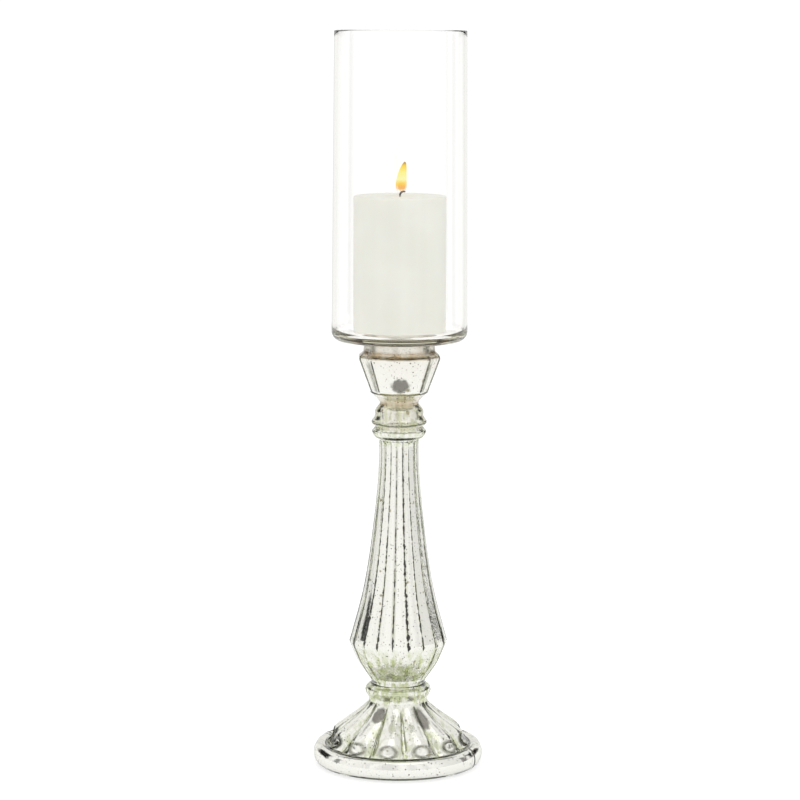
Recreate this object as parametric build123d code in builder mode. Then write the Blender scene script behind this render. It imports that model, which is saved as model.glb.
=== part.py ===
from build123d import *
from math import cos, radians, sin
import os

# Hurricane candle lantern: a silvered glass pedestal, a clear glass hurricane and a pillar candle.
# Millimetres, +Z up. The origin is on the ground plane, on the lantern's axis.
# Angles are measured from +X towards +Y, in degrees.

os.makedirs("parts", exist_ok=True)

# ---- driving dimensions -------------------------------------------------------------------------
OVERALL_HEIGHT = 609.6
PAD_HEIGHT = 1.2
PAD_RADIUS = 5.0
PAD_EDGE_ROUND = 0.5
PAD_RING_RADIUS = 58.0
PAD_ANGLES = (45, 135, 225, 315)

# Hurricane: a clear cylinder that narrows very slightly upwards, closed at the bottom
HURRICANE_BOTTOM_RADIUS = 56.0
HURRICANE_TOP_RADIUS = 54.2
HURRICANE_HEIGHT = 253.2
HURRICANE_WALL = 2.2
HURRICANE_FLOOR = 5.6
HURRICANE_CORNER = 8.0
RIM_ROUND = 0.9

# Pedestal glass: walls, counts and the angle of each pattern
GLASS_WALL = 2.6
SILVER_THICKNESS = 0.3
FLUTE_COUNT = 18
FLUTE_ANGLE = 3.0
CUP_FACET_COUNT = 12
CUP_EDGE_ANGLE = 17.0
PETAL_COUNT = 12
PETAL_ANGLE = 21.5

# Foot's underside, neck, adhesive and stopper
FOOT_RADIUS = 70.8
FOOT_LAND_RADIUS = 65.0
PUNT_RADIUS = 50.0
PUNT_SLOPE = 8.0
PUNT_DEPTH = 3.0
NECK_RADIUS = 29.5
BOND_THICKNESS = 0.4
BOND_INNER_RADIUS = 21.0
BOND_SETBACK = 0.4
PLUG_HEIGHT = 7.0
PLUG_CHAMFER = 1.0

# Candle, its wick and the metal tab that holds the wick's foot
CANDLE_RADIUS = 38.2
CANDLE_HEIGHT = 113.5
CANDLE_EDGE_ROUND = 1.4
WICK_RADIUS = 1.0
WICK_STAND = 0.9
WICK_REACH = 4.6
WICK_RISE = 0.8
TAB_RADIUS = 9.0
TAB_THICKNESS = 0.4
TAB_COLLAR_RADIUS = 2.2
TAB_COLLAR_HEIGHT = 5.0

# ---- worked out from them -----------------------------------------------------------------------
HURRICANE_BOTTOM = OVERALL_HEIGHT - HURRICANE_HEIGHT
HURRICANE_FLOOR_TOP = HURRICANE_BOTTOM + HURRICANE_FLOOR
NECK_TOP = HURRICANE_BOTTOM - BOND_THICKNESS
CANDLE_TOP = HURRICANE_FLOOR_TOP + CANDLE_HEIGHT
FOOT_BOTTOM = PAD_HEIGHT
PLUG_RADIUS = NECK_RADIUS - GLASS_WALL - SILVER_THICKNESS

# Stations up the pedestal: (height, radius). Flutes and facets give the radius at their edges.
RIM_WIDEST_HEIGHT = 9.4
RIM_TOP = (19.0, 64.4)
GROOVE = (16.8, 60.2)
GROOVE_SLOPE = (-1, -0.8)
WAIST = (53.0, 24.3)
COLLAR = (63.2, 27.4)
COLLAR_BAND = (WAIST, (57.5, 25.2), COLLAR, (67.2, 25.6), (69.8, 21.4))
KNEE = (104.8, 40.9)
BALUSTER = (
    (68.4, 20.6),
    (73.0, 23.2),
    (80.0, 28.4),
    (88.0, 33.6),
    (96.5, 37.5),
    KNEE,
    (118.0, 37.2),
    (134.0, 32.9),
    (152.0, 28.7),
    (176.0, 24.7),
    (204.0, 21.1),
    (232.0, 18.2),
    (252.0, 16.7),
    (276.0, 16.4),
)
LOWER_RING = (280.8, 22.2)
RING_VALLEY = (284.8, 19.7)
UPPER_RING = (289.2, 22.8)
BULGE = (296.6, 20.0)
CUP_WAIST = (304.6, 15.9)
RING_BAND = (
    (274.0, 16.2),
    (276.8, 20.2),
    LOWER_RING,
    RING_VALLEY,
    UPPER_RING,
    (292.8, 19.8),
    BULGE,
    (300.6, 18.4),
    CUP_WAIST,
    (307.6, 17.4),
    (314.4, 24.0),
)
CUP = ((313.0, 23.6), (342.0, 34.6), (346.6, 30.6))
NECK_BOTTOM = 345.6

# Foot petals: (height, radius at the crest, radius at the valley between two petals)
PETALS = (
    (10.0, 58.8, 55.5),
    (20.5, 58.2, 52.5),
    (26.5, 56.0, 47.5),
    (32.0, 51.4, 42.0),
    (38.0, 43.4, 36.8),
    (46.0, 32.6, 30.2),
    (54.0, 24.4, 24.2),
)
DIMPLE_CENTRE = (58.0, 24.6)
DIMPLE_HALF_WIDTH = 8.2
DIMPLE_HALF_HEIGHT = 4.6


def at(radius, angle):
    """Point in plan at a radius and an angle."""
    return (radius * cos(radians(angle)), radius * sin(radians(angle)))


def polygon_loft(stations, sides, angle, inset):
    """Loft regular polygons up the axis, with an edge at the given angle."""
    with BuildPart() as stretch:
        for height, radius in stations:
            with BuildSketch(Plane.XY.offset(height)):
                RegularPolygon(radius - inset, sides, rotation=angle)
        loft(ruled=True)
    return stretch.part


def petal_loft(inset):
    """Loft lobed sections, one arc per petal, from under the foot's groove to the waist."""
    pitch = 360 / PETAL_COUNT
    with BuildPart() as petals:
        for height, crest_radius, valley_radius in PETALS:
            with BuildSketch(Plane.XY.offset(height)):
                with BuildLine():
                    for petal in range(PETAL_COUNT):
                        crest_angle = PETAL_ANGLE + petal * pitch
                        start = at(valley_radius - inset, crest_angle - pitch / 2)
                        end = at(valley_radius - inset, crest_angle + pitch / 2)
                        ThreePointArc(start, at(crest_radius - inset, crest_angle), end)
                make_face()
        loft()
    return petals.part


def dimple_tool(inset):
    """Spheroid that presses an oval thumbprint into a petal's outer end."""
    half_width = DIMPLE_HALF_WIDTH + inset
    half_height = DIMPLE_HALF_HEIGHT + inset
    with BuildPart() as tool:
        with BuildSketch(Plane.XY):
            Ellipse(half_width, half_height)
            split(bisect_by=Plane.XZ)
        revolve(axis=Axis.X)
    radius, height = DIMPLE_CENTRE
    across_petal = Plane(origin=(radius, 0, height), x_dir=(0, 1, 0), z_dir=(0, 0, 1))
    return across_petal.location * tool.part


def foot_ring(inset):
    """Revolve the thick round rim of the foot, its groove and the closed bottom."""
    bottom = FOOT_BOTTOM + inset
    crest = (RIM_TOP[1], RIM_TOP[0] - inset)
    groove = (GROOVE[1], GROOVE[0] - inset)
    punt_height = bottom + PUNT_DEPTH
    with BuildPart() as ring:
        with BuildSketch(Plane.XZ):
            with BuildLine():
                punt = Line((0, punt_height), (PUNT_RADIUS - PUNT_SLOPE, punt_height))
                slope = Spline(punt @ 1, (PUNT_RADIUS, bottom), tangents=((1, 0), (1, 0)))
                land = Line(slope @ 1, (FOOT_LAND_RADIUS - inset, bottom))
                widest = (FOOT_RADIUS - inset, RIM_WIDEST_HEIGHT)
                side = Spline(land @ 1, widest, tangents=((1, 0), (0, 1)))
                crown = Spline(side @ 1, crest, tangents=((0, 1), (-1, 0)))
                Spline(crown @ 1, groove, tangents=((-1, 0), GROOVE_SLOPE))
                Polyline(groove, (0, groove[1]), (0, punt_height))
            make_face()
        revolve(axis=Axis.Z)
    return ring.part


def turned_band(points, inset):
    """Revolve a smooth curve through (height, radius) points, filled to the axis."""
    line = [(radius - inset, height) for height, radius in points]
    with BuildPart() as band:
        with BuildSketch(Plane.XZ):
            with BuildLine():
                Spline(*line)
                Polyline(line[-1], (0, line[-1][1]), (0, line[0][1]), line[0])
            make_face()
        revolve(axis=Axis.Z)
    return band.part


def neck(inset):
    """The plain round neck above the cup's shoulder."""
    with BuildPart() as cylinder:
        with BuildSketch(Plane.XY.offset(NECK_BOTTOM)):
            Circle(NECK_RADIUS - inset)
        extrude(amount=NECK_TOP - NECK_BOTTOM)
    return cylinder.part


def pedestal_solid(inset):
    """Whole pedestal as a solid, with its skin the given distance inside the outer glass."""
    petals = petal_loft(inset)
    dimple = dimple_tool(inset)
    stack = [
        foot_ring(inset),
        turned_band(COLLAR_BAND, inset),
        polygon_loft(BALUSTER, FLUTE_COUNT, FLUTE_ANGLE, inset),
        turned_band(RING_BAND, inset),
        polygon_loft(CUP, CUP_FACET_COUNT, CUP_EDGE_ANGLE, inset),
        neck(inset),
    ]
    with BuildPart() as solid:
        add(petals)
        with PolarLocations(0, PETAL_COUNT, start_angle=PETAL_ANGLE):
            add(dimple, mode=Mode.SUBTRACT)
        add(stack)
    return solid.part


# ---- pedestal: blown glass, with a mirror coat on its inner wall ---------------------------------
outer_skin = pedestal_solid(0)
glass_cavity = pedestal_solid(GLASS_WALL)
silvered_cavity = pedestal_solid(GLASS_WALL + SILVER_THICKNESS)

with BuildPart() as pedestal_glass:
    add(outer_skin)
    add(glass_cavity, mode=Mode.SUBTRACT)
pedestal_glass.part.label = "pedestal_glass"
export_step(pedestal_glass.part, "parts/pedestal_glass.step")

with BuildPart() as silver_lining:
    add(glass_cavity)
    add(silvered_cavity, mode=Mode.SUBTRACT)
silver_lining.part.label = "silver_lining"
export_step(silver_lining.part, "parts/silver_lining.step")

# ---- stopper that seals the silvered chamber -----------------------------------------------------
with BuildPart() as mouth_plug:
    with BuildSketch(Plane.XY.offset(NECK_TOP - PLUG_HEIGHT)):
        Circle(PLUG_RADIUS)
    extrude(amount=PLUG_HEIGHT)
    chamfer(mouth_plug.edges().group_by(Axis.Z)[0], length=PLUG_CHAMFER)
mouth_plug.part.label = "mouth_plug"
export_step(mouth_plug.part, "parts/mouth_plug.step")

# ---- clear adhesive ring between the neck and the hurricane --------------------------------------
with BuildPart() as bond_ring:
    with BuildSketch(Plane.XY.offset(NECK_TOP)):
        Circle(NECK_RADIUS - BOND_SETBACK)
        Circle(BOND_INNER_RADIUS, mode=Mode.SUBTRACT)
    extrude(amount=BOND_THICKNESS)
bond_ring.part.label = "bond_ring"
export_step(bond_ring.part, "parts/bond_ring.step")

# ---- hurricane -----------------------------------------------------------------------------------
with BuildPart() as hurricane_glass:
    with BuildSketch(Plane.XZ):
        with BuildLine():
            Polyline(
                (0, HURRICANE_BOTTOM),
                (HURRICANE_BOTTOM_RADIUS, HURRICANE_BOTTOM),
                (HURRICANE_TOP_RADIUS, OVERALL_HEIGHT),
                (HURRICANE_TOP_RADIUS - HURRICANE_WALL, OVERALL_HEIGHT),
                (HURRICANE_BOTTOM_RADIUS - HURRICANE_WALL, HURRICANE_FLOOR_TOP),
                (0, HURRICANE_FLOOR_TOP),
                close=True,
            )
        make_face()
    revolve(axis=Axis.Z)
    fillet(hurricane_glass.edges().group_by(Axis.Z)[0], radius=HURRICANE_CORNER)
    inner_corner = hurricane_glass.edges().filter_by_position(
        Axis.Z, HURRICANE_FLOOR_TOP - 0.1, HURRICANE_FLOOR_TOP + 0.1
    )
    fillet(inner_corner, radius=HURRICANE_CORNER - HURRICANE_WALL)
    fillet(hurricane_glass.edges().group_by(Axis.Z)[-1], radius=RIM_ROUND)
hurricane_glass.part.label = "hurricane_glass"
export_step(hurricane_glass.part, "parts/hurricane_glass.step")

# ---- metal tab that holds the wick's foot --------------------------------------------------------
with BuildPart() as wick_tab:
    with BuildSketch(Plane.XY.offset(HURRICANE_FLOOR_TOP)):
        Circle(TAB_RADIUS)
    extrude(amount=TAB_THICKNESS)
    with BuildSketch(Plane.XY.offset(HURRICANE_FLOOR_TOP + TAB_THICKNESS)):
        Circle(TAB_COLLAR_RADIUS)
    extrude(amount=TAB_COLLAR_HEIGHT)
    with BuildSketch(Plane.XY.offset(HURRICANE_FLOOR_TOP + TAB_THICKNESS)):
        Circle(WICK_RADIUS)
    extrude(amount=TAB_COLLAR_HEIGHT, mode=Mode.SUBTRACT)
wick_tab.part.label = "wick_tab"
export_step(wick_tab.part, "parts/wick_tab.step")

# ---- wick: straight through the wax, then curled over to +X --------------------------------------
wick_tip = (WICK_REACH, 0, CANDLE_TOP + WICK_STAND + WICK_RISE)
with BuildPart() as wick:
    with BuildLine():
        stem = Line((0, 0, HURRICANE_FLOOR_TOP + TAB_THICKNESS), (0, 0, CANDLE_TOP + WICK_STAND))
        TangentArc(stem @ 1, wick_tip, tangent=(0, 0, 1))
    with BuildSketch(Plane.XY.offset(HURRICANE_FLOOR_TOP + TAB_THICKNESS)):
        Circle(WICK_RADIUS)
    sweep()
wick.part.label = "wick"
export_step(wick.part, "parts/wick.step")

# ---- wax pillar ----------------------------------------------------------------------------------
with BuildPart() as candle_wax:
    with BuildSketch(Plane.XY.offset(HURRICANE_FLOOR_TOP)):
        Circle(CANDLE_RADIUS)
    extrude(amount=CANDLE_HEIGHT)
    fillet(candle_wax.edges(), radius=CANDLE_EDGE_ROUND)
    with BuildSketch(Plane.XY.offset(HURRICANE_FLOOR_TOP)):
        Circle(WICK_RADIUS)
    extrude(amount=CANDLE_HEIGHT, mode=Mode.SUBTRACT)
    with BuildSketch(Plane.XY.offset(HURRICANE_FLOOR_TOP)):
        Circle(TAB_RADIUS)
    extrude(amount=TAB_THICKNESS, mode=Mode.SUBTRACT)
    with BuildSketch(Plane.XY.offset(HURRICANE_FLOOR_TOP)):
        Circle(TAB_COLLAR_RADIUS)
    extrude(amount=TAB_THICKNESS + TAB_COLLAR_HEIGHT, mode=Mode.SUBTRACT)
candle_wax.part.label = "candle_wax"
export_step(candle_wax.part, "parts/candle_wax.step")

# ---- clear bumper pads under the foot ------------------------------------------------------------
for number, pad_angle in enumerate(PAD_ANGLES, start=1):
    with BuildPart() as foot_pad:
        with BuildSketch(Plane.XY):
            with Locations(at(PAD_RING_RADIUS, pad_angle)):
                Circle(PAD_RADIUS)
        extrude(amount=PAD_HEIGHT)
        fillet(foot_pad.edges().group_by(Axis.Z)[0], radius=PAD_EDGE_ROUND)
    foot_pad.part.label = f"foot_pad_{number}"
    export_step(foot_pad.part, f"parts/foot_pad_{number}.step")
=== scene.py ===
"""Looks of the hurricane candle lantern: silvered glass pedestal, clear hurricane and lit pillar candle.

Metres, +Z up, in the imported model's frame. Angles go from +X towards +Y; -Y faces the camera.
"""
import math

import bpy
import numpy as np
from mathutils import Matrix, Vector


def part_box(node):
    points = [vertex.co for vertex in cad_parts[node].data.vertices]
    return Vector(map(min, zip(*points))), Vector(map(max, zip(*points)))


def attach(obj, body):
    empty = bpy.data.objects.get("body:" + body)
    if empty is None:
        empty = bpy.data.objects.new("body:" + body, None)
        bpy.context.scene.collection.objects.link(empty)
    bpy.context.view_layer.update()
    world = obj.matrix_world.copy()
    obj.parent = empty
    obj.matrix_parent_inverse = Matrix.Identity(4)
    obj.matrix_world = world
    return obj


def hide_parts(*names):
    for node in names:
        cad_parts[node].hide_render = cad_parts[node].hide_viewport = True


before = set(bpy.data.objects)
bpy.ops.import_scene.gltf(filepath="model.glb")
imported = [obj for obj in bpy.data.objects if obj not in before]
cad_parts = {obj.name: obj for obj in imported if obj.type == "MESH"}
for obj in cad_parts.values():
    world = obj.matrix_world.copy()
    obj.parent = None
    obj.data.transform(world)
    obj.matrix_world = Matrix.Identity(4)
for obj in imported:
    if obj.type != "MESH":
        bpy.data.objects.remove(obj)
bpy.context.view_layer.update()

MM = 0.001
COLUMNS = 288    # points round the pedestal
COARSE = 3       # hidden inner walls have one point for this many outer ones

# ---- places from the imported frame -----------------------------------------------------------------
pedestal_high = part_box("pedestal_glass")[1]
hurricane_low, hurricane_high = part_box("hurricane_glass")
wax_low, wax_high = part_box("candle_wax")
wick_low, wick_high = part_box("wick")
bond_low, bond_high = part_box("bond_ring")

NECK_TOP = pedestal_high[2] / MM
HURRICANE_RADIUS = hurricane_high[0] / MM
HURRICANE_BOTTOM = hurricane_low[2] / MM
HURRICANE_TOP = hurricane_high[2] / MM
WAX_RADIUS = wax_high[0] / MM
WAX_BOTTOM = wax_low[2] / MM
WAX_TOP = wax_high[2] / MM

# ---- pedestal outline -------------------------------------------------------------------------------
# Each stretch is a list of stations (radius, height) in millimetres, joined by a smooth curve; a crisp
# edge falls between two stretches. A petal stretch has its crest and its valley side by side.
GLASS_WALL = 2.6
SILVER_THICKNESS = 0.3
SILVER_BED = 0.05             # how far the silvering sinks into the glass
MIRROR_EDGE_ROUND = 0.28
FLUTES, FLUTE_ANGLE = 18, 3.0
FACETS, FACET_ANGLE = 12, 17.0
PETALS, PETAL_ANGLE = 12, 21.5
SEAM_ANGLE = 65.0

UNDERSIDE = [(0.0, 4.2), (20.0, 4.2), (40.0, 4.1), (45.0, 2.9), (50.0, 1.25), (56.0, 1.2), (64.0, 1.2)]
RIM = [(64.0, 1.2), (66.8, 1.9), (69.4, 4.4), (70.75, 9.4), (69.9, 14.2), (67.6, 17.8), (64.4, 19.1),
       (61.9, 18.3), (60.2, 16.9)]
PETAL_CREST = [(60.2, 16.9), (59.6, 18.0), (58.9, 20.6), (57.6, 23.9), (55.4, 27.4), (51.6, 31.6),
               (44.6, 36.9), (36.8, 42.5), (29.4, 48.7), (25.2, 53.2), (24.3, 55.4)]
PETAL_VALLEY = [(60.2, 16.9), (57.8, 16.6), (54.8, 17.9), (51.8, 20.7), (48.6, 24.2), (44.4, 28.7),
                (38.9, 34.2), (33.2, 40.0), (27.6, 47.4), (24.7, 52.8), (24.3, 55.4)]
COLLAR = [(24.3, 55.4), (24.9, 57.4), (26.7, 60.6), (27.4, 63.4), (26.6, 66.0), (24.4, 68.0), (22.0, 69.4)]
LOWER_BALUSTER = [(22.0, 69.4), (23.6, 73.0), (28.6, 80.0), (33.8, 88.0), (37.6, 96.5), (40.9, 104.8)]
UPPER_BALUSTER = [(40.9, 104.8), (37.3, 118.0), (32.9, 134.0), (28.7, 152.0), (24.7, 176.0), (21.1, 204.0),
                  (18.2, 232.0), (16.8, 252.0), (16.5, 268.0), (16.6, 274.6)]
RINGS = [(16.6, 274.6), (20.0, 276.4), (21.9, 279.4), (22.2, 281.6), (20.2, 284.2), (20.1, 285.4),
         (22.5, 288.0), (22.6, 290.0), (20.6, 292.8), (19.9, 294.6), (19.9, 298.2), (18.4, 301.0),
         (16.0, 304.2), (17.0, 307.0), (20.4, 310.6), (23.9, 313.6)]
CUP = [(23.9, 313.6), (27.6, 323.2), (31.2, 332.6), (34.6, 341.8)]
SHOULDER = [(34.6, 341.8), (33.9, 344.4), (31.0, 346.4), (29.7, 348.0)]
NECK = [(29.7, 348.0), (29.5, 350.6), (29.4, 353.3), (29.2, NECK_TOP)]


def smooth_curve(points, count):
    """Catmull-Rom curve through the points, sampled evenly by length."""
    p = np.array(points, float)
    ends = [2 * p[0] - p[1], *p, 2 * p[-1] - p[-2]]
    fine = []
    for a, b, c, d in zip(ends, ends[1:], ends[2:], ends[3:]):
        for t in np.linspace(0, 1, 16, endpoint=False):
            fine.append(0.5 * (2 * b + (c - a) * t + (2 * a - 5 * b + 4 * c - d) * t**2
                               + (3 * b - a - 3 * c + d) * t**3))
    fine = np.array([*fine, p[-1]])
    length = np.r_[0, np.cumsum(np.linalg.norm(np.diff(fine[:, :2], axis=0), axis=1))]
    at = np.linspace(0, length[-1], count)
    return np.stack([np.interp(at, length, fine[:, k]) for k in range(fine.shape[1])], axis=1)


def stretch(crest, step, valley=None, flutes=(0, 0), facets=(0, 0), phase=0.0):
    """Rows of one stretch: crest radius and height, valley radius and height, flute and facet depth."""
    length = np.linalg.norm(np.diff(np.array(crest), axis=0), axis=1).sum()
    count = max(4, round(length / step) + 1)
    pairs = [(*c, *v) for c, v in zip(crest, valley or crest)]
    rows = smooth_curve(pairs, count)
    t = np.linspace(0, 1, count)
    depth = [np.interp(t, np.linspace(0, 1, len(d)), d) for d in (flutes, facets)]
    return np.column_stack([rows, *depth, np.full(count, phase)])


def polygon_ratio(angles, sides, corner_angle, hollow, rounding):
    """Radius of a polygon with slightly hollow sides and rounded corners, over its corner radius."""
    pitch = 2 * math.pi / sides
    flat = math.cos(pitch / 2)
    turn = (angles - math.radians(corner_angle)) / pitch
    side = np.floor(turn)
    total = 0
    for near in (-1, 0, 1):
        off = (turn - side - near - 0.5) * pitch
        face = flat / np.cos(off) + hollow * ((off / (pitch / 2)) ** 2 - 1)
        total = total + np.exp(-face / rounding)
    return -rounding * np.log(total)


def pedestal_rows():
    """All rows of the pedestal's outer skin, from the middle of the underside to the neck's top."""
    parts = [
        stretch(UNDERSIDE, 3.2, phase=0.25),
        stretch(RIM, 0.95, phase=0.25),
        stretch(PETAL_CREST, 0.85, valley=PETAL_VALLEY, phase=0.25),
        stretch(COLLAR, 0.8, phase=0.5),
        stretch(LOWER_BALUSTER, 1.8, flutes=(0, 1, 1, 1, 1, 1, 1, 1), phase=0.5),
        stretch(UPPER_BALUSTER, 2.3, flutes=(1, 1), phase=0.5),
        stretch(RINGS, 0.75, phase=0.75),
        stretch(CUP, 1.6, facets=(0.75, 1, 1, 1), phase=0.75),
        stretch(SHOULDER, 0.9, facets=(1, 0.55, 0.1), phase=0.75),
        stretch(NECK, 1.6, phase=0.75),
    ]
    return np.concatenate([parts[0], *[p[1:] for p in parts[1:]]])


def soften(grid, across, along):
    """Blur a grid a little round the axis and along its rows, as blown glass rounds its inner wall."""
    for _ in range(across):
        grid = 0.25 * np.roll(grid, 1, axis=1) + 0.5 * grid + 0.25 * np.roll(grid, -1, axis=1)
    for _ in range(along):
        inner = 0.25 * grid[:-2] + 0.5 * grid[1:-1] + 0.25 * grid[2:]
        grid = np.concatenate([grid[:1], inner, grid[-1:]])
    return grid


def petal_turn(angles):
    """Where an angle falls in its petal: 0 on the crest and 1 or -1 in the valleys."""
    turn = (np.degrees(angles) - PETAL_ANGLE) / (360 / PETALS)
    return 2 * (turn - np.round(turn))


def pedestal_grid(edge_round):
    """Outer skin as a grid of (radius, height) and the angle of each point, before the thumbprints."""
    rows = pedestal_rows()
    rounding = np.clip(edge_round / np.maximum(rows[:, 0:1], 1), 0.002, 0.03)
    angles = np.radians(np.arange(COLUMNS) * 360 / COLUMNS + rows[:, 6:7])
    petal = 1 - np.abs(petal_turn(angles)) ** 2.1
    radius = rows[:, 2:3] + petal * (rows[:, 0:1] - rows[:, 2:3])
    height = rows[:, 3:4] + petal * (rows[:, 1:2] - rows[:, 3:4])
    flute = polygon_ratio(angles, FLUTES, FLUTE_ANGLE, 0.005, rounding) - 1
    facet = polygon_ratio(angles, FACETS, FACET_ANGLE, 0.010, rounding) - 1
    radius = radius * (1 + rows[:, 4:5] * flute + rows[:, 5:6] * facet)
    return radius, height, angles


def to_points(radius, height, angles):
    """Grid of points in metres."""
    return MM * np.stack([radius * np.cos(angles), radius * np.sin(angles), height], axis=2)


def grid_normals(points):
    """Outward unit normals of a grid of points."""
    along = np.gradient(points, axis=0)
    across = np.roll(points, -1, axis=1) - np.roll(points, 1, axis=1)
    normals = np.cross(across, along)
    return normals / (np.linalg.norm(normals, axis=2, keepdims=True) + 1e-12)


DIMPLE_AT = (56.6, 23.6)
DIMPLE_HALF_WIDTH, DIMPLE_HALF_HEIGHT, DIMPLE_DEPTH = 8.4, 5.6, 2.2


def dimple_depth(radius, height, angles):
    """Depth of the oval thumbprints on the petals' outer ends, in millimetres."""
    sideways = petal_turn(angles) * math.radians(180 / PETALS) * DIMPLE_AT[0] / DIMPLE_HALF_WIDTH
    upwards = np.hypot(radius - DIMPLE_AT[0], height - DIMPLE_AT[1]) / DIMPLE_HALF_HEIGHT
    bowl = np.clip(1 - sideways**2 - upwards**2, 0, 1)
    return DIMPLE_DEPTH * bowl * (3 - bowl) / 2


def seam_height(radius, height, angles):
    """Fine raised mould seams, four of them, over the rim of the foot."""
    turn = (np.degrees(angles) - SEAM_ANGLE) / 90
    off = np.abs(turn - np.round(turn)) * 90
    on_rim = (radius > 60.5) & (height > 2)
    return 0.3 * np.clip(1 - off / 1.3, 0, 1) * on_rim


def skin(inset, across=0, along=0, edge_round=0.12):
    """The pedestal's skin as a grid of points, the given depth below its outer surface."""
    radius, height, angles = pedestal_grid(edge_round)
    mean_r, mean_h = radius.mean(axis=1), height.mean(axis=1)
    slope = np.stack([np.gradient(mean_h), -np.gradient(mean_r)], axis=1)
    slope = soften(slope[:, None, :], 0, 4)[:, 0, :]
    slope = slope / np.linalg.norm(slope, axis=1, keepdims=True)
    inner_r = np.maximum(radius - inset * slope[:, 0:1], 0)
    inner_h = height - inset * slope[:, 1:2]
    if inset:
        inner_h[-1] = height[-1]
        inner = soften(np.stack([inner_r, inner_h], axis=2), across, along)
        inner_r, inner_h = inner[..., 0], inner[..., 1]
    inner_r[0] = 0
    points = to_points(inner_r, inner_h, angles)
    press = seam_height(radius, height, angles) - dimple_depth(radius, height, angles)
    return points + MM * press[..., None] * grid_normals(points)


# ---- mesh helpers -----------------------------------------------------------------------------------
def make_piece(name, vertices, faces, smooth=True):
    """A mesh object from points and faces, run through Blender's mesh validation."""
    mesh = bpy.data.meshes.new(name)
    mesh.from_pydata([tuple(v) for v in vertices], [], faces)
    mesh.validate()
    mesh.polygons.foreach_set("use_smooth", [smooth] * len(mesh.polygons))
    piece = bpy.data.objects.new(name, mesh)
    bpy.context.scene.collection.objects.link(piece)
    return piece


def grid_faces(rows, columns, first, flip=False):
    """Quads between the rows of a grid that closes round the axis."""
    row, column = np.meshgrid(np.arange(rows - 1), np.arange(columns), indexing="ij")
    after = (column + 1) % columns
    a, b = first + row * columns + column, first + row * columns + after
    quads = np.stack([a, b, b + columns, a + columns], axis=2).reshape(-1, 4)
    return (quads[:, ::-1] if flip else quads).tolist()


def shell(name, outer, inner):
    """Closed shell of a fine outer grid and a coarse inner one, both from the axis up to an open top."""
    inner = inner[::3, ::COARSE] if (len(inner) - 1) % 3 == 0 else np.concatenate(
        [inner[:-1:3, ::COARSE], inner[-1:, ::COARSE]])
    fine, coarse = outer.shape[1], inner.shape[1]
    out = outer[1:].reshape(-1, 3)
    into = inner[1:].reshape(-1, 3)
    vertices = [outer[0, 0], *out, inner[0, 0], *into]
    faces = grid_faces(len(outer) - 1, fine, 1)
    start = 1 + len(out)
    faces += grid_faces(len(inner) - 1, coarse, start + 1, flip=True)
    faces += [(0, 1 + (j + 1) % fine, 1 + j) for j in range(fine)]
    faces += [(start, start + 1 + j, start + 1 + (j + 1) % coarse) for j in range(coarse)]
    top_out = 1 + len(out) - fine
    top_in = start + 1 + len(into) - coarse
    for j in range(coarse):
        edge = [top_out + (COARSE * j + k) % fine for k in range(COARSE + 1)]
        faces.append((*edge, top_in + (j + 1) % coarse, top_in + j))
    return make_piece(name, vertices, faces)


def lathe(name, outline, columns):
    """Closed body turned from an outline (radius, height) in millimetres that starts and ends on the axis."""
    angles = np.linspace(0, 2 * math.pi, columns, endpoint=False)
    rings = np.array(outline[1:-1], float)
    points = to_points(rings[:, :1] + 0 * angles, rings[:, 1:] + 0 * angles, 0 * rings[:, :1] + angles)
    vertices = [(0, 0, outline[0][1] * MM), *points.reshape(-1, 3), (0, 0, outline[-1][1] * MM)]
    faces = grid_faces(len(rings), columns, 1)
    last = 1 + (len(rings) - 1) * columns
    faces += [(0, 1 + (j + 1) % columns, 1 + j) for j in range(columns)]
    faces += [(len(vertices) - 1, last + j, last + (j + 1) % columns) for j in range(columns)]
    return make_piece(name, vertices, faces)


def arc(centre, radius, start, end, count=10):
    """Points of an arc in an outline, in degrees."""
    turn = np.radians(np.linspace(start, end, count))
    return [(centre[0] + radius * math.cos(t), centre[1] + radius * math.sin(t)) for t in turn]


def set_float(piece, name, values):
    """Store one number per vertex for the material to read."""
    layer = piece.data.attributes.new(name, "FLOAT", "POINT")
    layer.data.foreach_set("value", np.asarray(values, np.float32))


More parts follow.
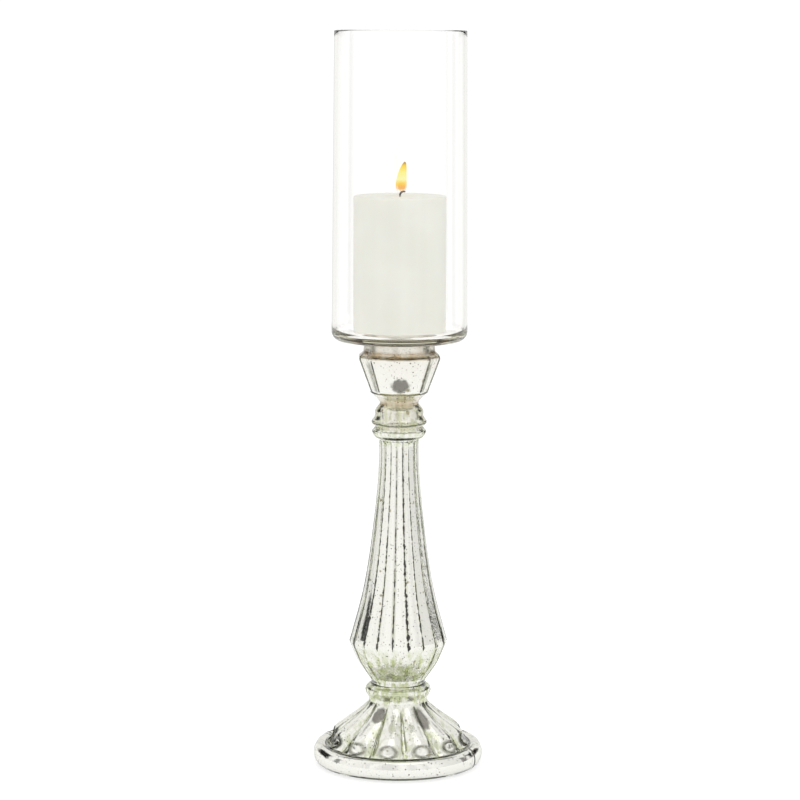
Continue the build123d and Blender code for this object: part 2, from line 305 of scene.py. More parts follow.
# ---- materials --------------------------------------------------------------------------------------
class Nodes:
    """Short calls for building one node tree."""

    def __init__(self, tree):
        self.tree = tree
        self.tree.nodes.clear()

    def add(self, kind, values=None, **settings):
        node = self.tree.nodes.new(kind)
        for key, value in settings.items():
            setattr(node, key, value)
        for socket, value in (values or {}).items():
            if hasattr(value, "is_output"):
                self.tree.links.new(value, node.inputs[socket])
            else:
                node.inputs[socket].default_value = value
        return node

    def math(self, operation, *values):
        return self.add("ShaderNodeMath", dict(enumerate(values)), operation=operation).outputs[0]

    def ramp(self, value, low, high, start=0.0, end=1.0):
        """Smooth step of a value from low to high, as start to end."""
        sockets = {"Value": value, "From Min": low, "From Max": high, "To Min": start, "To Max": end}
        return self.add("ShaderNodeMapRange", sockets, interpolation_type="SMOOTHSTEP").outputs[0]

    def mix(self, factor, first, second):
        node = self.add("ShaderNodeMix", data_type="RGBA")
        for socket, value in ((0, factor), (6, first), (7, second)):
            if hasattr(value, "is_output"):
                self.tree.links.new(value, node.inputs[socket])
            else:
                node.inputs[socket].default_value = value
        return node.outputs[2]

    def position(self):
        return self.add("ShaderNodeTexCoord").outputs["Object"]

    def noise(self, vector, scale, detail, roughness=0.5):
        sockets = {"Vector": vector, "Scale": scale, "Detail": detail, "Roughness": roughness}
        return self.add("ShaderNodeTexNoise", sockets).outputs["Fac"]

    def attribute(self, name):
        return self.add("ShaderNodeAttribute", attribute_name=name).outputs["Fac"]

    def finish(self, shader, volume=None):
        out = self.add("ShaderNodeOutputMaterial")
        self.tree.links.new(shader, out.inputs["Surface"])
        if volume:
            self.tree.links.new(volume, out.inputs["Volume"])


def new_material(name):
    """An empty node material and its node builder."""
    material = bpy.data.materials.new(name)
    material.use_nodes = True
    return material, Nodes(material.node_tree)


def spots(nodes, position, scale, share, size, seed):
    """Round spots of uneven size: 1 inside a spot. Share is the part of the cells that hold one."""
    shifted = nodes.add("ShaderNodeVectorMath", {0: position, 1: seed}, operation="ADD").outputs[0]
    bent = nodes.add("ShaderNodeTexNoise", {"Vector": shifted, "Scale": scale * 1.7, "Detail": 2.0})
    warped = nodes.add("ShaderNodeVectorMath", {0: bent.outputs["Color"], 1: (0.5 / scale,) * 3, 2: shifted},
                       operation="MULTIPLY_ADD").outputs[0]
    cell = nodes.add("ShaderNodeTexVoronoi", {"Vector": warped, "Scale": scale})
    chance = nodes.add("ShaderNodeSeparateColor", {"Color": cell.outputs["Color"]})
    held = nodes.math("LESS_THAN", chance.outputs[0], share)
    width = nodes.math("MULTIPLY_ADD", chance.outputs[1], size * 0.8, size * 0.35)
    inside = nodes.math("SUBTRACT", width, cell.outputs["Distance"])
    return nodes.math("MULTIPLY", held, nodes.ramp(inside, 0.0, size * 0.35))


def painted_ridge_reflection(nodes, position, grain):
    """1 on the painted dark reflection along each flute's ridge, a thin line of uneven width."""
    axes = nodes.add("ShaderNodeSeparateXYZ", {0: position}).outputs
    angle = nodes.math("ARCTAN2", axes[1], axes[0])
    turn = nodes.math("MULTIPLY_ADD", angle, FLUTES / (2 * math.pi), -FLUTE_ANGLE * FLUTES / 360)
    off = nodes.math("ABSOLUTE", nodes.math("SUBTRACT", turn, nodes.math("ROUND", turn)))
    radius = nodes.math("SQRT", nodes.math("ADD", nodes.math("POWER", axes[0], 2.0),
                                           nodes.math("POWER", axes[1], 2.0)))
    off = nodes.math("MULTIPLY", off, nodes.math("MULTIPLY", radius, 2 * math.pi / FLUTES))
    width = nodes.math("MULTIPLY_ADD", grain, 0.0034, -0.0009)
    width = nodes.math("MULTIPLY", width, nodes.attribute("ridges"))
    return nodes.ramp(nodes.math("SUBTRACT", width, off), 0.0, 0.00022)


def silver_material():
    """Aged silvering seen through the glass: bright, with dark specks, olive clouds, amber stains and painted
    dark reflections.
    """
    material, nodes = new_material("aged_silver")
    position = nodes.position()
    cloud = nodes.noise(position, 38.0, 5.0, 0.65)
    grain = nodes.noise(position, 300.0, 3.0, 0.6)
    patchy = nodes.ramp(cloud, 0.40, 0.60, 0.2, 1.0)
    fine = nodes.math("MULTIPLY", spots(nodes, position, 480.0, 0.62, 0.34, (3.1, 0.4, 1.7)), patchy)
    coarse = spots(nodes, position, 150.0, 0.30, 0.24, (0.2, 5.3, 2.9))
    clean = (0.90, 0.885, 0.87, 1)
    olive = (0.50, 0.55, 0.27, 1)
    amber = (0.42, 0.26, 0.07, 1)
    upright = nodes.add("ShaderNodeVectorMath", {0: position, 1: (1, 1, 0.3)},
                        operation="MULTIPLY").outputs[0]
    streak = nodes.noise(upright, 260.0, 3.0)
    mottled = nodes.math("MULTIPLY", nodes.attribute("olive"), nodes.ramp(streak, 0.42, 0.56, 0.1, 1.0))
    stained = nodes.math("MULTIPLY", nodes.attribute("amber"), nodes.ramp(cloud, 0.36, 0.58, 0.5, 1.0))
    blot = nodes.math("ADD", nodes.attribute("tarnish"), nodes.math("MULTIPLY_ADD", grain, 0.9, -0.45))
    colour = nodes.mix(mottled, clean, olive)
    colour = nodes.mix(stained, colour, amber)
    ridge = painted_ridge_reflection(nodes, position, grain)
    # Painted reflections: grey shade down the cup, on the neck's sides and round each thumbprint.
    shade = nodes.math("MULTIPLY", nodes.attribute("shade"), nodes.ramp(grain, 0.3, 0.55, 0.6, 1.0))
    colour = nodes.mix(shade, colour, (0.24, 0.24, 0.19, 1))
    # Painted reflection: a near-black line along each flute's ridge stands in for the dark surroundings
    # mirrored there.
    colour = nodes.mix(ridge, colour, (0.035, 0.032, 0.025, 1))
    colour = nodes.mix(nodes.ramp(blot, 0.25, 0.75), colour, (0.22, 0.21, 0.19, 1))
    colour = nodes.mix(nodes.math("MULTIPLY", coarse, 0.8), colour, (0.42, 0.38, 0.22, 1))
    colour = nodes.mix(nodes.math("MULTIPLY", fine, 0.85), colour, (0.12, 0.10, 0.07, 1))
    rough = nodes.math("MULTIPLY_ADD", nodes.math("MAXIMUM", fine, coarse), 0.35, 0.045)
    ripple = nodes.noise(position, 90.0, 2.0)
    wavy = nodes.add("ShaderNodeBump", {"Height": ripple, "Strength": 0.12, "Distance": 0.0006}).outputs[0]
    crinkle = nodes.add("ShaderNodeBump", {"Height": grain, "Strength": nodes.attribute("crinkle"),
                                           "Distance": 0.0010, "Normal": wavy}).outputs[0]
    shader = nodes.add("ShaderNodeBsdfPrincipled", {"Base Color": colour, "Metallic": 1.0, "Roughness": rough,
                                                    "Normal": crinkle})
    nodes.finish(shader.outputs[0])
    return material


def pedestal_glass_material():
    """Clear moulded glass with a faint green body tint."""
    material, nodes = new_material("tinted_glass")
    position = nodes.position()
    wave = nodes.noise(position, 60.0, 1.0)
    bump = nodes.add("ShaderNodeBump", {"Height": wave, "Strength": 0.08, "Distance": 0.0006}).outputs[0]
    glass = nodes.add("ShaderNodeBsdfPrincipled", {
        "Base Color": (1, 1, 1, 1), "Roughness": 0.0, "IOR": 1.5, "Transmission Weight": 1.0, "Normal": bump})
    body = nodes.add("ShaderNodeVolumeAbsorption", {"Color": (0.70, 0.84, 0.48, 1), "Density": 20.0})
    nodes.finish(glass.outputs[0], body.outputs[0])
    return material


def clear_glass_material():
    """Colourless hurricane glass that lets soft light through to the candle; its faint yellow tint paints in
    the amber bond's reflection.
    """
    material, nodes = new_material("clear_glass")
    glass = nodes.add("ShaderNodeBsdfPrincipled", {
        "Base Color": (1, 1, 1, 1), "Roughness": 0.0, "IOR": 1.45, "Transmission Weight": 1.0})
    clear = nodes.add("ShaderNodeBsdfTransparent", {"Color": (0.985, 0.99, 0.98, 1)})
    path = nodes.add("ShaderNodeLightPath")
    through = nodes.math("MAXIMUM", path.outputs["Is Shadow Ray"], path.outputs["Is Diffuse Ray"])
    both = nodes.add("ShaderNodeMixShader", {0: through, 1: glass.outputs[0], 2: clear.outputs[0]})
    # Painted reflection: the faint yellow absorption gives the thick floor and corner the golden reflection
    # of the amber bond.
    body = nodes.add("ShaderNodeVolumeAbsorption", {"Color": (0.68, 0.65, 0.42, 1), "Density": 12.0})
    nodes.finish(both.outputs[0], body.outputs[0])
    return material


def wax_material():
    """Warm ivory wax, faintly mottled, with light scattering under the surface."""
    material, nodes = new_material("ivory_wax")
    position = nodes.position()
    cloud = nodes.noise(position, 26.0, 4.0)
    colour = nodes.mix(nodes.ramp(cloud, 0.35, 0.65), (0.755, 0.75, 0.70, 1), (0.785, 0.78, 0.735, 1))
    grain = nodes.noise(position, 420.0, 3.0)
    bump = nodes.add("ShaderNodeBump", {"Height": grain, "Strength": 0.2, "Distance": 0.0002}).outputs[0]
    shader = nodes.add("ShaderNodeBsdfPrincipled", {
        "Base Color": colour, "Roughness": 0.42, "Subsurface Weight": 0.35, "Subsurface Scale": 0.006,
        "Subsurface Radius": (1.0, 0.75, 0.5), "Normal": bump})
    nodes.finish(shader.outputs[0])
    return material


def wick_material():
    """Waxed cotton, charred black towards the burning tip."""
    material, nodes = new_material("charred_wick")
    height = nodes.attribute("burnt")
    colour = nodes.mix(nodes.ramp(height, 0.0, 1.0), (0.62, 0.58, 0.48, 1), (0.02, 0.016, 0.014, 1))
    shader = nodes.add("ShaderNodeBsdfPrincipled", {"Base Color": colour, "Roughness": 0.8})
    nodes.finish(shader.outputs[0])
    return material


def glow_material(name, stops, solid):
    """Flame light: colours and how solid it looks, from its foot (0) to its tip (1)."""
    material, nodes = new_material(name)
    height = nodes.attribute("rise")
    colours = []
    for values in (stops, [(place, (value,) * 3 + (1,)) for place, value in solid]):
        ramp = nodes.add("ShaderNodeValToRGB", {"Fac": height})
        elements = ramp.color_ramp.elements
        for place, colour in values[1:-1]:
            elements.new(place).color = colour
        elements[0].color, elements[-1].color = values[0][1], values[-1][1]
        elements[0].position, elements[-1].position = values[0][0], values[-1][0]
        colours.append(ramp.outputs[0])
    light = nodes.add("ShaderNodeEmission", {"Color": colours[0], "Strength": 1.0})
    clear = nodes.add("ShaderNodeBsdfTransparent")
    both = nodes.add("ShaderNodeMixShader", {0: colours[1], 1: clear.outputs[0], 2: light.outputs[0]})
    nodes.finish(both.outputs[0])
    return material


def adhesive_material():
    """Amber cured adhesive."""
    material, nodes = new_material("amber_adhesive")
    position = nodes.position()
    cloud = nodes.noise(position, 120.0, 3.0)
    colour = nodes.mix(nodes.ramp(cloud, 0.4, 0.6), (0.78, 0.52, 0.20, 1), (0.86, 0.68, 0.38, 1))
    shader = nodes.add("ShaderNodeBsdfPrincipled", {
        "Base Color": colour, "Roughness": 0.2, "IOR": 1.48, "Transmission Weight": 0.55})
    nodes.finish(shader.outputs[0])
    return material


def plain_material(name, first, second, scale, roughness, metallic=0.0, transmission=0.0):
    """A surface with a slight mottle between two colours."""
    material, nodes = new_material(name)
    position = nodes.position()
    cloud = nodes.noise(position, scale, 3.0)
    colour = nodes.mix(nodes.ramp(cloud, 0.4, 0.6), (*first, 1), (*second, 1))
    bump = nodes.add("ShaderNodeBump", {"Height": cloud, "Strength": 0.1, "Distance": 0.0002}).outputs[0]
    shader = nodes.add("ShaderNodeBsdfPrincipled", {
        "Base Color": colour, "Roughness": roughness, "Metallic": metallic,
        "Transmission Weight": transmission, "Normal": bump})
    nodes.finish(shader.outputs[0])
    return material


def dress(piece, material, body, slot, *nodes):
    """Give a new piece its material and body, and hide the CAD nodes that it stands for; the slot is not
    used.
    """
    piece.data.materials.append(material)
    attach(piece, body)
    if nodes:
        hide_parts(*nodes)


# ---- pedestal ---------------------------------------------------------------------------------------
# Blots of tarnish: angle from the front towards the right, height, half width, half height.
BLOTS = ((2.5, 321.7, 7.4, 6.2), (37.0, 42.5, 6.0, 8.0), (-33.0, 45.5, 4.5, 5.5))


# Painted grey reflections down the cup's sides: angle from the front and half width, in degrees.
CUP_STRIPES = ((-54, 8), (54, 7))
# Painted dark reflections on the neck's sides and in a ring round each thumbprint.
NECK_ENDS, NECK_ENDS_HALF_WIDTH = 52, 9
CRINKLED_SIDE, CRINKLED_HALF_WIDTH = 60, 16
THUMBPRINT_RING, THUMBPRINT_RING_HALF_WIDTH = 0.9, 0.25


def from_front(angles):
    """Degrees from the front, positive towards the right."""
    return (np.degrees(angles) + 90 + 180) % 360 - 180


def on_flutes(height):
    """1 on the upper baluster, from the knee to below the rings."""
    return np.interp(height, [104, 108, 262, 272], [0, 1, 1, 0])


def olive_amount(height, radius, angles):
    """Olive clouds: the petals' valleys, the lower baluster, the rings and beside the flutes' ridges."""
    valley = np.abs(petal_turn(angles)) ** 1.6
    on_petals = np.interp(height, [14, 17, 46, 54], [0, 1, 1, 0]) * (radius < 60)
    low_baluster = np.interp(height, [50, 56, 92, 106], [0, 1, 0.8, 0])
    waist = np.interp(height, [268, 274, 278, 284, 300, 314], [0, 0.8, 0.3, 0.5, 0.5, 0])
    ridge = (np.degrees(angles) - FLUTE_ANGLE) / (360 / FLUTES)
    ridge = np.clip(1 - np.abs(ridge - np.round(ridge)) / 0.16, 0, 1)
    below_knee = np.interp(height, [66, 74, 98, 103.5, 104.5], [0, 1, 1, 0.6, 0])
    beside_ridges = ridge * (0.5 * below_knee + 0.55 * on_flutes(height))
    return np.clip(0.9 * valley * on_petals + 0.75 * low_baluster + waist + beside_ridges, 0, 1)


def tarnish_amount(height, radius, front):
    """Grey blots, each fading out at its edge."""
    tarnish = np.zeros_like(height)
    for front_angle, at_height, half_width, half_height in BLOTS:
        off = (front - front_angle + 180) % 360 - 180
        across = np.radians(off) * radius / half_width
        up = (height - at_height) / half_height
        tarnish = np.maximum(tarnish, np.clip(1.6 - 1.1 * np.hypot(across, up), 0, 1))
    return tarnish


def shade_amount(height, radius, angles, front):
    """Painted dark reflections: stripes down the cup, the neck's sides and an outline round each thumbprint.
    """
    stripes = 0
    for middle, half_width in CUP_STRIPES:
        stripes = np.maximum(stripes, np.clip(1.3 - np.abs(front - middle) / half_width, 0, 1))
    stripes = 0.85 * stripes * np.interp(height, [314, 317, 338, 342], [0, 1, 0.9, 0])
    neck = np.clip(1.2 - np.abs(np.abs(front) - NECK_ENDS) / NECK_ENDS_HALF_WIDTH, 0, 1)
    neck = 0.8 * neck * np.interp(height, [347, 349, 357], [0, 1, 1])
    sideways = petal_turn(angles) * math.radians(180 / PETALS) * DIMPLE_AT[0] / DIMPLE_HALF_WIDTH
    upwards = np.hypot(radius - DIMPLE_AT[0] + 1.5, height - DIMPLE_AT[1] + 1.5) / DIMPLE_HALF_HEIGHT
    off_ring = np.abs(np.hypot(sideways, upwards) - THUMBPRINT_RING)
    outline = np.clip(1.2 - off_ring / THUMBPRINT_RING_HALF_WIDTH, 0, 1)
    return np.maximum(stripes, np.maximum(neck, outline))


def ridge_reflection_width(height, front):
    """Width of the painted dark reflection on each flute's ridge: widest over the knee, and uneven round the
    axis.
    """
    strength = 0.55 + 0.60 * np.sin(np.radians(3.1 * front + 40)) ** 2
    return strength * np.interp(height, [102, 105, 150, 240, 272, 276], [0, 1.15, 0.85, 0.6, 0.45, 0])


def crinkle_amount(height, front):
    """How crumpled the silvering looks: most on the lower baluster, the neck and the right side."""
    crinkle = np.interp(height, [46, 54, 66, 98, 106, 268, 274, 312, 315, 340, 344, 357],
                        [0.06, 0.10, 0.20, 0.24, 0.03, 0.03, 0.14, 0.14, 0.05, 0.1, 0.3, 0.3])
    right = np.clip(1 - np.abs(front - CRINKLED_SIDE) / CRINKLED_HALF_WIDTH, 0, 1)
    return np.clip(crinkle + 0.22 * right * on_flutes(height), 0, 1)


def pedestal_stains_and_reflections(points):
    """For each point of the silvering: amounts of stains, painted dark reflections and crinkle, by the name
    the material reads.
    """
    height = points[..., 2] / MM
    radius = np.hypot(points[..., 0], points[..., 1]) / MM
    angles = np.arctan2(points[..., 1], points[..., 0])
    front = from_front(angles)
    amber = np.interp(height, [282, 285, 288, 300, 304, 308, 314, 342, 345, 347.5, 350, 357],
                      [0, 0.35, 0.1, 0.2, 0.8, 0.5, 0, 0.1, 1, 0.9, 0.25, 0.5])
    return {
        "olive": olive_amount(height, radius, angles),
        "amber": amber,
        "tarnish": tarnish_amount(height, radius, front),
        "shade": shade_amount(height, radius, angles, front),
        "ridges": ridge_reflection_width(height, front),
        "crinkle": crinkle_amount(height, front),
    }


def make_pedestal():
    """Glass body and the silvering inside it."""
    outer = skin(0)
    mirror = skin(GLASS_WALL, across=3, along=2, edge_round=MIRROR_EDGE_ROUND)
    back = GLASS_WALL + SILVER_THICKNESS
    mirror_back = skin(back, across=4, along=4, edge_round=MIRROR_EDGE_ROUND)
    glass_back = skin(back + SILVER_BED, across=4, along=4, edge_round=MIRROR_EDGE_ROUND)
    glass = shell("pedestal_glass_skin", outer, glass_back)
    silver = shell("pedestal_silvering", mirror, mirror_back)
    vertices = np.zeros(len(silver.data.vertices) * 3)
    silver.data.vertices.foreach_get("co", vertices)
    for silver_marking, values in pedestal_stains_and_reflections(vertices.reshape(-1, 3)).items():
        set_float(silver, silver_marking, values)
    dress(glass, pedestal_glass_material(), "lantern", "pedestal_glass", "pedestal_glass")
    dress(silver, silver_material(), "lantern", "silver", "silver_lining")


# ---- hurricane --------------------------------------------------------------------------------------
HURRICANE_TOP_RADIUS = 54.2
HURRICANE_WALL = 2.2
HURRICANE_FLOOR = 5.6
HURRICANE_CORNER = 8.0


def make_hurricane():
    """Clear cylinder with a rounded bottom corner, a thick floor and a fire-polished rim."""
    wall, corner = HURRICANE_WALL, HURRICANE_CORNER
    low, floor, high = HURRICANE_BOTTOM, HURRICANE_BOTTOM + HURRICANE_FLOOR, HURRICANE_TOP
    top = HURRICANE_TOP_RADIUS

    def radius_at(height):
        return top + (HURRICANE_RADIUS - top) * (high - height) / (high - low - corner)

    foot, inner_foot = radius_at(low + corner), radius_at(floor + corner - wall) - wall
    outline = [(0, low)]
    outline += [(r, low) for r in (8, 20, 32, 42)]
    outline += arc((foot - corner, low + corner), corner, -90, 0, 12)
    outline += [(radius_at(z), z) for z in np.linspace(low + 12, high - 6, 16)]
    outline += arc((top - wall / 2, high - wall / 2), wall / 2, 0, 180, 9)
    outline += [(radius_at(z) - wall, z) for z in np.linspace(high - 6, floor + 8, 16)]
    outline += arc((inner_foot - corner + wall, floor + corner - wall), corner - wall, 0, -90, 10)
    outline += [(r, floor) for r in (42, 32, 20, 8)]
    outline += [(0, floor)]
    hurricane = lathe("hurricane_cylinder", outline, 240)
    dress(hurricane, clear_glass_material(), "lantern", "clear_glass", "hurricane_glass")


def make_bond():
    """Adhesive ring between the neck and the hurricane, with a small bead at its edge."""
    low, high = bond_low[2] / MM, bond_high[2] / MM
    middle = (low + high) / 2
    angles = np.linspace(0, 2 * math.pi, 192, endpoint=False)
    section = [(21.0, low), (21.0, high), (28.4, high), (29.2, high), (29.6, middle), (29.2, low),
               (28.4, low)]
    vertices, faces = [], []
    for k, t in enumerate(angles):
        waver = 0.25 * math.sin(5 * t + 0.7) + 0.15 * math.sin(11 * t)
        for j, (r, z) in enumerate(section):
            r = r + waver * (j < 2)
            vertices.append((r * math.cos(t) * MM, r * math.sin(t) * MM, z * MM))
        for j in range(len(section)):
            a, b = k * len(section), ((k + 1) % len(angles)) * len(section)
            n = (j + 1) % len(section)
            faces.append((a + j, a + n, b + n, b + j))
    bond = make_piece("bond_bead", vertices, faces)
    dress(bond, adhesive_material(), "lantern", "adhesive", "bond_ring")


# ---- candle -----------------------------------------------------------------------------------------
def make_wax():
    """Pillar with a softened top edge and a shallow melted dish round the wick."""
    low, high, radius = WAX_BOTTOM + 0.15, WAX_TOP, WAX_RADIUS
    outline = [(0, low)]
    outline += [(r, low) for r in (8, 18, 28)]
    outline += arc((radius - 1.2, low + 1.2), 1.2, -90, 0, 6)
    outline += [(radius, z) for z in np.linspace(low + 4, high - 4, 26)]
    outline += arc((radius - 1.6, high - 1.6), 1.6, 0, 90, 8)
    outline += [(r, high - 0.05) for r in (34, 30, 25, 20, 16)]
    outline += [(13.5, high - 0.2), (12, high - 0.7), (10, high - 1.1), (6, high - 1.3), (2.5, high - 1.3)]
    outline += [(1.0, high - 1.0), (0, high - 1.0)]
    wax = lathe("wax_pillar", outline, 160)
    points = np.zeros(len(wax.data.vertices) * 3)
    wax.data.vertices.foreach_get("co", points)
    points = points.reshape(-1, 3)
    angle = np.arctan2(points[:, 1], points[:, 0])
    height = points[:, 2]
    waver = 1 - 0.0012 * (1 + np.sin(3 * angle + 40 * height) * np.cos(2 * angle - 25 * height))
    points[:, :2] *= waver[:, None]
    wax.data.vertices.foreach_set("co", points.ravel())
    dress(wax, wax_material(), "candle", "wax", "candle_wax")


def wick_route():
    """Points of the wick's middle line: straight up, then over to the right, in millimetres."""
    bend_start, reach = WAX_TOP + 0.4, wick_high[0] / MM - 1.2
    top = wick_high[2] / MM - 0.9
    low = wick_low[2] / MM + 0.1
    straight = [(0, 0, z) for z in np.linspace(low, bend_start, 40)]
    over = []
    for t in np.linspace(0, math.pi * 0.62, 16)[1:]:
        over.append((reach * (1 - math.cos(t)) / (1 - math.cos(math.pi * 0.62)), 0.12 * math.sin(2 * t),
                     bend_start + (top - bend_start) * math.sin(t)))
    return np.array(straight + over, float)


def make_wick():
    """Braided cotton wick."""
    route = wick_route()
    ring = np.linspace(0, 2 * math.pi, 18, endpoint=False)
    tangent = np.gradient(route, axis=0)
    tangent /= np.linalg.norm(tangent, axis=1, keepdims=True)
    side = np.array([0.0, 1.0, 0.0])
    run = np.r_[0, np.cumsum(np.linalg.norm(np.diff(route, axis=0), axis=1))]
    vertices, faces = [], []
    for k, (point, along) in enumerate(zip(route, tangent)):
        across = np.cross(along, side)
        thin = 0.86 - 0.25 * max(0, k - len(route) + 5) / 5
        for t in ring:
            plait = 1 + 0.16 * math.cos(3 * t + 2.2 * run[k]) * math.cos(3 * t - 2.2 * run[k])
            offset = thin * plait * (math.cos(t) * side + math.sin(t) * across)
            vertices.append((point + offset) * MM)
    rows, columns = len(route), len(ring)
    faces = grid_faces(rows, columns, 0)
    faces += [tuple(range(columns))[::-1], tuple(range((rows - 1) * columns, rows * columns))]
    wick = make_piece("braided_wick", vertices, faces)
    burnt = np.clip((np.repeat(route[:, 2], columns) - WAX_TOP + 0.6) / 1.6, 0, 1)
    set_float(wick, "burnt", burnt)
    dress(wick, wick_material(), "candle", "wick", "wick")


# Flame stations: height over the wax, how far it leans to the right, half width.
FLAME = [(1.2, 1.0, 1.4), (2.7, 1.0, 3.4), (5.8, 0.9, 4.25), (8.9, 0.9, 4.45), (12.0, 1.1, 4.25),
         (15.1, 1.4, 3.95), (18.2, 1.8, 3.5), (21.3, 2.4, 2.9), (24.4, 3.1, 2.1), (26.5, 3.6, 1.2),
         (27.6, 3.8, 0.4)]
FLAME_CORE = [(3.6, 1.2, 0.6), (4.6, 1.2, 2.0), (6.4, 1.15, 2.8), (8.6, 1.2, 2.6), (10.6, 1.3, 1.7),
              (12.0, 1.4, 0.5)]


def flame_shell(name, stations, material):
    """Closed teardrop through flame stations, with its rise from 0 to 1 stored for the colours."""
    rows = smooth_curve(stations, 40)
    ring = np.linspace(0, 2 * math.pi, 32, endpoint=False)
    vertices = [((lean + width * math.cos(a)) * MM, 0.8 * width * math.sin(a) * MM, (WAX_TOP + height) * MM)
                for height, lean, width in rows for a in ring]
    columns = len(ring)
    faces = grid_faces(len(rows), columns, 0)
    faces += [tuple(range(columns))[::-1], tuple(range((len(rows) - 1) * columns, len(rows) * columns))]
    flame = make_piece(name, vertices, faces)
    low, high = rows[0, 0], rows[-1, 0]
    set_float(flame, "rise", np.repeat((rows[:, 0] - low) / (high - low), columns))
    flame.visible_shadow = False
    dress(flame, material, "candle", "wax")


def make_flame():
    """Flame round the wick's tip: an orange core inside a yellow teardrop with a brown tip."""
    outer = glow_material("flame_light", [
        (0.0, (1.0, 0.80, 0.50, 1)), (0.18, (0.98, 0.50, 0.08, 1)), (0.34, (1.0, 0.70, 0.06, 1)),
        (0.46, (0.99, 0.95, 0.42, 1)), (0.68, (0.98, 0.90, 0.25, 1)), (0.88, (0.97, 0.66, 0.03, 1)),
        (1.0, (0.30, 0.14, 0.03, 1))],
        [(0.0, 0.0), (0.10, 0.12), (0.30, 0.75), (0.5, 0.97), (1.0, 1.0)])
    core = glow_material("flame_core", [
        (0.0, (1.0, 0.55, 0.16, 1)), (0.5, (0.90, 0.30, 0.03, 1)), (1.0, (0.98, 0.50, 0.03, 1))],
        [(0.0, 0.2), (0.3, 0.7), (1.0, 0.8)])
    flame_shell("flame", FLAME, outer)
    flame_shell("flame_core", FLAME_CORE, core)


# ---- CAD nodes that keep their shape -----------------------------------------------------------------
def dress_kept_nodes():
    """Better materials for the parts whose CAD shape is right."""
    silicone = plain_material("silicone", (0.55, 0.53, 0.47), (0.62, 0.60, 0.54), 90.0, 0.55)
    tin = plain_material("tinplate", (0.72, 0.72, 0.71), (0.80, 0.80, 0.79), 300.0, 0.25, metallic=1.0)
    bumper = plain_material("clear_bumper", (0.90, 0.91, 0.89), (0.94, 0.95, 0.93), 200.0, 0.3,
                            transmission=0.7)
    kept = {"mouth_plug": silicone, "wick_tab": tin}
    kept.update({f"foot_pad_{number}": bumper for number in (1, 2, 3, 4)})
    for node, material in kept.items():
        mesh_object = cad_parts[node]
        if not mesh_object.material_slots:
            mesh_object.data.materials.append(material)
        for slot in mesh_object.material_slots:
            slot.material = material


# ---- stage, light and camera --------------------------------------------------------------------------
CAMERA_DISTANCE = 2.372
CAMERA_HEIGHT = 0.6286
CAMERA_PITCH = 7.727
CAMERA_ROLL = 0.236
CAMERA_YAW = 0.016
CAMERA_LENS = 130.5
FLOOR_RADIUS = 1.3
LAMP_AT = Vector((0.3, -0.6, 2.2))
LAMP_AIM = Vector((0, 0, 0.2))

# Dark gaps between the studio's soft boxes: azimuth from the camera's side, half width, lowest and
# highest elevation, and how bright. They are seen only in the reflections.
DARK_GAPS = (
    (-94, 4.0, -10, 24, 0.3),
    (106, 4.0, -10, 24, 0.3),
    (-129, 15.0, 3, 23, 0.02),
    (134, 14.0, 3, 23, 0.02),
)
BACKDROP_TOP = (45, 54)    # lowest and highest elevation of a dark band straight behind


def make_floor():
    """Plain pale floor."""
    angles = np.linspace(0, 2 * math.pi, 96, endpoint=False)
    vertices = [(FLOOR_RADIUS * math.cos(t), FLOOR_RADIUS * math.sin(t), 0) for t in angles]
    floor = make_piece("floor", vertices, [tuple(range(len(angles)))], smooth=False)
    material, nodes = new_material("white_floor")
    paint = nodes.add("ShaderNodeBsdfDiffuse", {"Color": (0.48, 0.48, 0.48, 1)})
    lit = nodes.add("ShaderNodeEmission", {"Color": (1, 1, 1, 1), "Strength": 0.66})
    shader = nodes.add("ShaderNodeAddShader", {0: paint.outputs[0], 1: lit.outputs[0]})
    nodes.finish(shader.outputs[0])
    floor.data.materials.append(material)


def world_strip(nodes, flat, elevation, azimuth, half_width, low, high):
    """1 inside an upright strip of the surroundings, falling off over a few degrees."""
    a = math.radians(azimuth)
    towards = nodes.add("ShaderNodeVectorMath", {0: flat, 1: (math.sin(a), -math.cos(a), 0)},
                        operation="DOT_PRODUCT").outputs["Value"]
    inside = nodes.ramp(towards, math.cos(math.radians(half_width + 2)), math.cos(math.radians(half_width)))
    above = nodes.ramp(elevation, math.sin(math.radians(low - 4)), math.sin(math.radians(low)))
    below = nodes.ramp(elevation, math.sin(math.radians(high)), math.sin(math.radians(high + 6)), 1.0, 0.0)
    return nodes.math("MULTIPLY", inside, nodes.math("MULTIPLY", above, below))


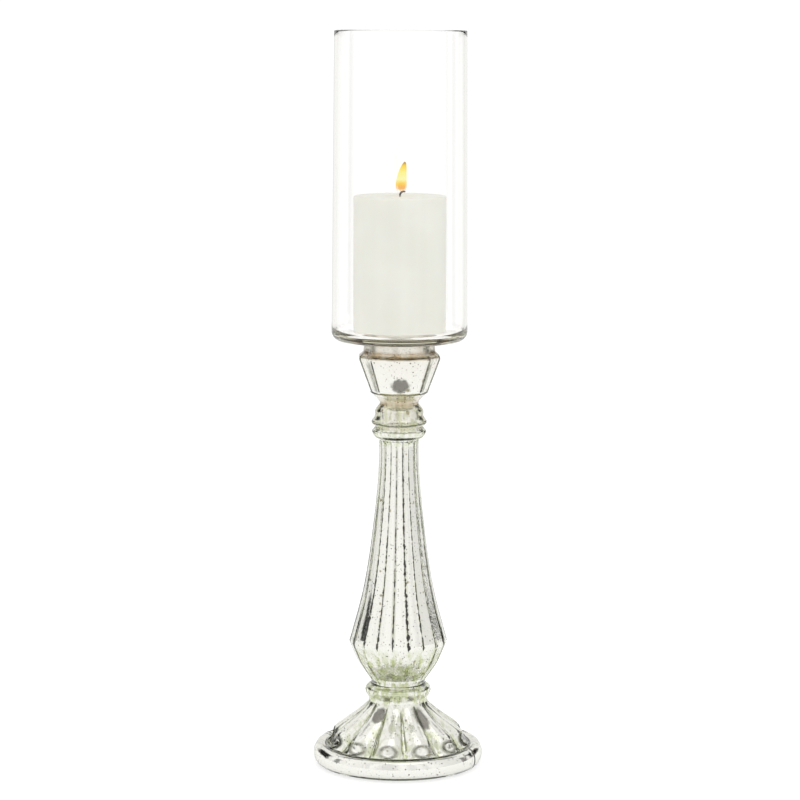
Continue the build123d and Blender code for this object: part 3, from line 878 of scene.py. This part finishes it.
def make_world():
    """White surroundings, with soft boxes and the gaps between them in the mirror's reflections."""
    world = bpy.data.worlds.new("studio")
    world.use_nodes = True
    bpy.context.scene.world = world
    nodes = Nodes(world.node_tree)
    direction = nodes.add("ShaderNodeTexCoord").outputs["Generated"]
    level = nodes.add("ShaderNodeVectorMath", {0: direction, 1: (1, 1, 0)}, operation="MULTIPLY").outputs[0]
    flat = nodes.add("ShaderNodeVectorMath", {0: level}, operation="NORMALIZE").outputs[0]
    elevation = nodes.add("ShaderNodeSeparateXYZ", {0: direction}).outputs[2]
    strength = nodes.ramp(elevation, math.sin(math.radians(-30)), math.sin(math.radians(40)), 0.96, 1.0)
    cloth = nodes.noise(flat, 2.2, 1.0)
    strength = nodes.math("MULTIPLY", strength, nodes.ramp(cloth, 0.35, 0.65, 0.86, 1.12))
    for azimuth, half_width, low, high, value in DARK_GAPS:
        inside = world_strip(nodes, flat, elevation, azimuth, half_width, low, high)
        strength = nodes.math("MULTIPLY", strength, nodes.math("MULTIPLY_ADD", inside, value - 1.0, 1.0))
    low, high = (math.sin(math.radians(v)) for v in BACKDROP_TOP)
    above = nodes.math("MULTIPLY", nodes.ramp(elevation, low - 0.04, low),
                       nodes.ramp(elevation, high, high + 0.04, 1.0, 0.0))
    behind = nodes.ramp(nodes.add("ShaderNodeSeparateXYZ", {0: flat}).outputs[1], 0.5, 0.8)
    above = nodes.math("MULTIPLY", above, behind)
    strength = nodes.math("MULTIPLY", strength, nodes.math("MULTIPLY_ADD", above, -0.88, 1.0))
    plain = nodes.add("ShaderNodeBackground", {"Color": (1, 1, 1, 1), "Strength": 1.08})
    studio = nodes.add("ShaderNodeBackground", {"Color": (1, 0.995, 0.985, 1), "Strength": strength})
    bounced = nodes.math("GREATER_THAN", nodes.add("ShaderNodeLightPath").outputs["Glossy Depth"], 0.5)
    both = nodes.add("ShaderNodeMixShader", {0: bounced, 1: plain.outputs[0], 2: studio.outputs[0]})
    out = nodes.add("ShaderNodeOutputWorld")
    nodes.tree.links.new(both.outputs[0], out.inputs["Surface"])


def make_lights():
    """One large soft light overhead, slightly to the front."""
    data = bpy.data.lights.new("overhead", "AREA")
    data.shape = "DISK"
    data.size = 1.6
    data.energy = 2.0
    lamp = bpy.data.objects.new("overhead", data)
    lamp.location = LAMP_AT
    lamp.rotation_euler = (LAMP_AT - LAMP_AIM).to_track_quat("Z", "Y").to_euler()
    bpy.context.scene.collection.objects.link(lamp)


def make_camera():
    """Long lens at the height of the hurricane's rim, looking slightly down."""
    data = bpy.data.cameras.new("camera")
    data.lens = CAMERA_LENS
    data.sensor_width = 36.0
    data.clip_start, data.clip_end = 0.1, 50.0
    camera = bpy.data.objects.new("camera", data)
    turn = Matrix.Rotation(math.radians(-CAMERA_YAW), 4, "Z")
    tilt = Matrix.Rotation(math.radians(90 - CAMERA_PITCH), 4, "X")
    roll = Matrix.Rotation(math.radians(CAMERA_ROLL), 4, "Z")
    place = Matrix.Translation((0, -CAMERA_DISTANCE, CAMERA_HEIGHT))
    camera.matrix_world = place @ turn @ tilt @ roll
    bpy.context.scene.collection.objects.link(camera)
    bpy.context.scene.camera = camera


def main():
    """Camera and stage first, then the pieces from the foot up."""
    bpy.context.scene.view_settings.view_transform = "Standard"
    light_paths = bpy.context.scene.cycles
    light_paths.max_bounces = light_paths.transmission_bounces = 24
    light_paths.glossy_bounces = 12
    make_camera()
    make_world()
    make_lights()
    make_floor()
    make_pedestal()
    make_bond()
    make_hurricane()
    make_wax()
    make_wick()
    make_flame()
    dress_kept_nodes()


main()
